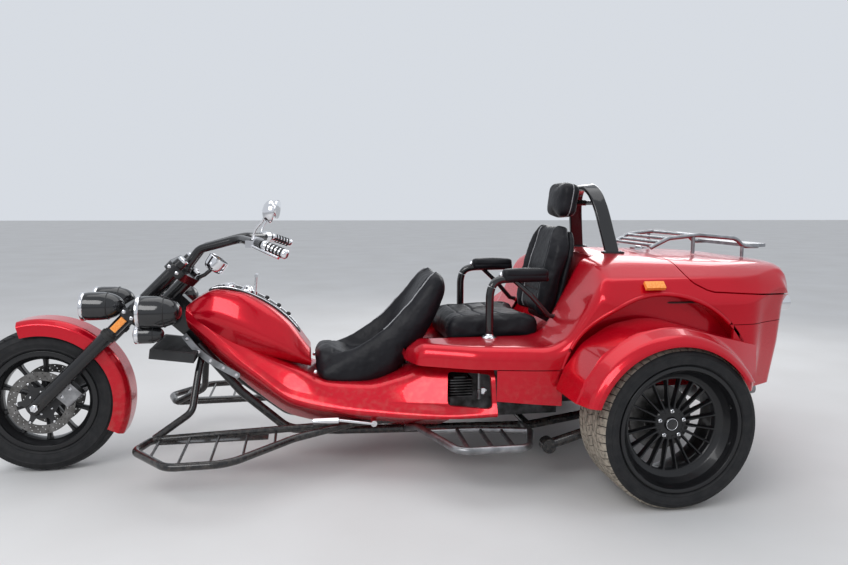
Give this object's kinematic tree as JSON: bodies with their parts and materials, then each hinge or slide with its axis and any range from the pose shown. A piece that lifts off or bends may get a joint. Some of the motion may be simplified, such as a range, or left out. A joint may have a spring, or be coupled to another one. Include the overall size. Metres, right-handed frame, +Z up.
{
  "type": "motorized trike",
  "caption": "Low motorized trike: raked fork with a spoked wheel, tank-shaped cowl, driver's bucket seat, passenger seat with armrests, rear body with a boot lid, and wide rear tyres.",
  "frame": {"origin": "on the ground, under the middle of the vehicle's length and width", "axes": "-X is the front, +X the rear, +Y the vehicle's right side, +Z up"},
  "size_m": [3.7506, 1.824, 1.3127],
  "materials": {
    "red_paint": "deep cherry red gloss with clear coat",
    "black_paint": "gloss black powder coat",
    "lamp_black": "gloss black lamp shells",
    "wheel_black": "gloss black wheel paint",
    "chrome": "mirror chrome",
    "grey_steel": "bare worn steel",
    "rack_grey": "satin grey tube",
    "engine_metal": "dull dark castings",
    "dark_plastic": "matt black moulding",
    "black_vinyl": "soft black vinyl",
    "black_rubber": "matt black rubber",
    "tyre": "dusty black tyre rubber",
    "red_lens": "moulded red lens",
    "amber_lens": "moulded amber lens"
  },
  "bodies": {
    "chassis": {"frame": "black_paint", "body_tub": "red_paint", "tank_cowl": "red_paint", "cowl_trim": "dark_plastic", "shift_lever": "chrome", "rear_body": "red_paint", "side_panels": "red_paint", "rear_skirt": "red_paint", "trunk_tub": "dark_plastic", "rear_fenders": "red_paint", "driver_seat": "black_vinyl", "passenger_seat": "black_vinyl", "passenger_backrest": "black_vinyl", "headrest": "black_vinyl", "roll_hoop": "black_paint", "armrests": "black_paint", "armrest_pads": "black_vinyl", "footboards": "black_paint", "passenger_footrests": "grey_steel", "engine": "engine_metal", "rear_axle": "black_paint", "rear_shocks": "grey_steel", "exhaust": "grey_steel", "radiator": "dark_plastic", "parking_lever": "chrome", "side_lamps": "lamp_black", "tail_lamps": "red_lens", "side_markers": "amber_lens", "plate_bracket": "dark_plastic", "lid_hinges": "chrome"},
    "steering": {"steering_stem": "black_paint", "upper_clamp": "black_paint", "fork_legs": "black_paint", "front_fender": "red_paint", "handlebar": "black_paint", "grips": "black_rubber", "levers": "chrome", "mirrors": "chrome", "speedometer": "chrome", "front_lamps": "lamp_black", "fork_reflectors": "amber_lens", "calipers": "grey_steel"},
    "front_spinner": {"front_wheel": "wheel_black", "front_tyre": "tyre", "brake_discs": "grey_steel"},
    "rear_left_spinner": {"rear_wheel_left": "wheel_black", "rear_tyre_left": "tyre"},
    "rear_right_spinner": {"rear_wheel_right": "wheel_black", "rear_tyre_right": "tyre"},
    "lid": {"trunk_lid": "red_paint", "luggage_rack": "rack_grey"}
  },
  "joints": [
    {"name": "steering_turn", "type": "hinge", "parent": "chassis", "child": "steering", "pos_m": [-0.9122, 0, 0.868], "axis": [0.7071, 0, 0.7071], "range_deg": [-30, 30]},
    {"name": "front_wheel_spin", "type": "hinge", "parent": "steering", "child": "front_spinner", "pos_m": [-1.55, 0, 0.325], "axis": [0, 1, 0], "continuous": true},
    {"name": "rear_left_spin", "type": "hinge", "parent": "chassis", "child": "rear_left_spinner", "pos_m": [1.05, -0.755, 0.33], "axis": [0, 1, 0], "continuous": true},
    {"name": "rear_right_spin", "type": "hinge", "parent": "chassis", "child": "rear_right_spinner", "pos_m": [1.05, 0.755, 0.33], "axis": [0, 1, 0], "continuous": true},
    {"name": "lid_turn", "type": "hinge", "parent": "chassis", "child": "lid", "pos_m": [1.211, 0, 1], "axis": [0, -1, 0], "range_deg": [0, 65]}
  ]
}
